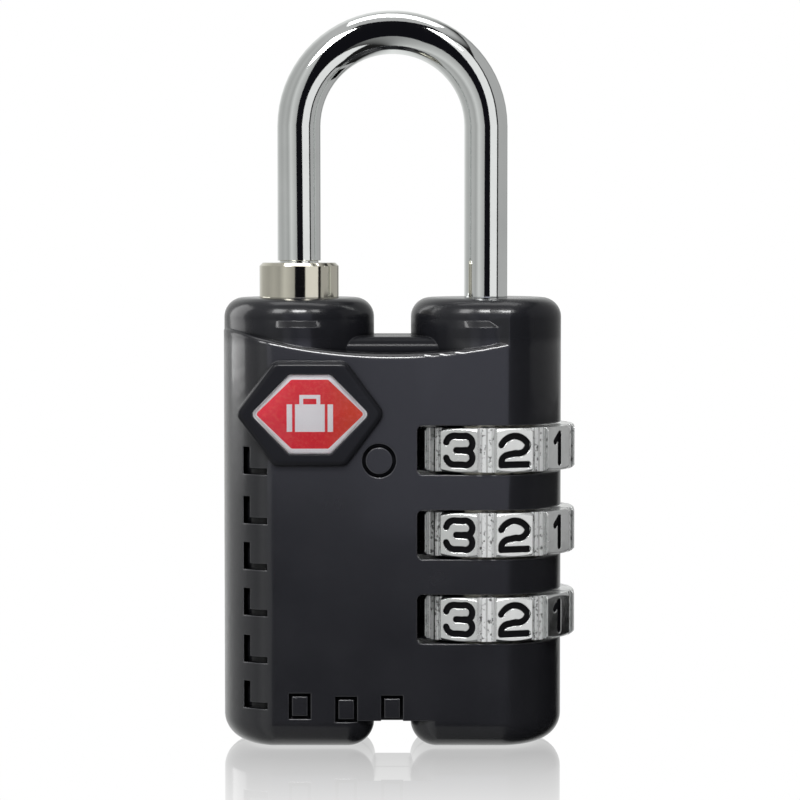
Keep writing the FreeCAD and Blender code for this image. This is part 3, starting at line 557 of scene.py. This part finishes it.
def flag():
    """A dark card low on the right that only reflections see, other than the floor's."""
    t = Surface("flag")
    t.set(Base_Color=(*BLACK, 1), Roughness=0.9, Specular_IOR_Level=0.0, Alpha=t.rest(t.ray("Singular")))
    low, high = -14 * MM, 9.5 * MM
    start, end = (66 * MM, -8 * MM), (50 * MM, 62 * MM)
    card = sheet("flag", [(*start, low), (*end, low), (*end, high), (*start, high)], t.material)
    card.visible_camera = card.visible_diffuse = card.visible_transmission = False


PLATED = [n for n in nodes if n.startswith(("shackle", "release_collar", "dial_ring"))]
DIALS = [n for n in nodes if n.startswith("dial_ring")]
PAINTED = ["front_housing", "rear_housing"]
BADGE = ["badge_plate", "badge_enamel"]
COOL = (0.95, 0.97, 1.18)


def softbox(name, place, size, power, target=(MIDDLE, 0, 34 * MM), on=(), colour=WHITE):
    """A rectangular light, which falls only on the listed pieces where a list is given."""
    light = bpy.data.lights.new(name, "AREA")
    light.shape = "RECTANGLE"
    light.size, light.size_y = size
    light.energy = power
    light.color = colour
    lamp = bpy.data.objects.new(name, light)
    bpy.context.scene.collection.objects.link(lamp)
    lamp.location = place
    lamp.rotation_euler = (Vector(target) - Vector(place)).to_track_quat("-Z", "Y").to_euler()
    if on:
        group = bpy.data.collections.new(name + "_falls_on")
        for n in on:
            group.objects.link(nodes[n])
        lamp.light_linking.receiver_collection = group


def wall_light(name, span, radiance, on, heights=(-0.52, 0.58), colour=WHITE):
    """An upright light between two directions, in degrees to the right of the front, and two heights."""
    distance = 0.5
    middle, half = math.radians(sum(span) / 2), math.radians((span[1] - span[0]) / 2)
    size = (2 * distance * math.tan(half), heights[1] - heights[0])
    level = sum(heights) / 2
    place = (MIDDLE + distance * math.sin(middle), -distance * math.cos(middle), level)
    power = radiance * math.pi * size[0] * size[1]
    softbox(name, place, size, power, target=(MIDDLE, 0, level), on=on, colour=colour)


def camera():
    """A long lens in front of the lock and slightly above it."""
    data = bpy.data.cameras.new("camera")
    data.sensor_width = 36
    data.lens = 140.4
    data.clip_start, data.clip_end = 0.01, 10
    lens = bpy.data.objects.new("camera", data)
    bpy.context.scene.collection.objects.link(lens)
    target = Vector((-7.95, 0, 31.44)) * MM
    distance, tilt = 290 * MM, math.radians(3.2)
    back = Vector((0, -math.cos(tilt), math.sin(tilt)))
    lens.location = target + back * distance
    lens.rotation_euler = (-back).to_track_quat("-Z", "Y").to_euler()
    bpy.context.scene.camera = lens


world()
floor()
flag()
wall_light("plated_strip", (20, 58), 0.85, PLATED)
wall_light("plated_wall", (66, 148), 0.42, PLATED)
wall_light("paint_front_left", (-25, -1), 0.5, PAINTED, heights=(-0.02, 0.34), colour=COOL)
wall_light("paint_front_right", (-1, 20), 0.8, PAINTED, heights=(-0.03, 0.34), colour=COOL)
wall_light("paint_left", (-130, -92), 3.2, PAINTED, heights=(0.008, 0.5))
wall_light("paint_right", (70, 150), 0.28, PAINTED, heights=(0.0, 0.5))
wall_light("dial_front", (-16, 16), 0.5, DIALS)
wall_light("dial_left", (-96, -52), 0.4, DIALS)
wall_light("dial_right", (66, 148), 0.1, DIALS)
wall_light("badge_front", (-30, 30), 1.2, BADGE, heights=(0.0, 0.5))
softbox("paint_line", (MIDDLE, -0.37, 0.38), (0.14, 0.1), 2.0, on=PAINTED)
softbox("key", (-0.26, -0.34, 0.40), (0.16, 0.2), 1.3)
softbox("fill", (0.2, -0.36, 0.42), (0.1, 0.14), 0.5)
softbox("top", (0.0, 0.06, 0.5), (0.4, 0.2), 0.7)
camera()
bpy.context.scene.view_settings.view_transform = "Standard"
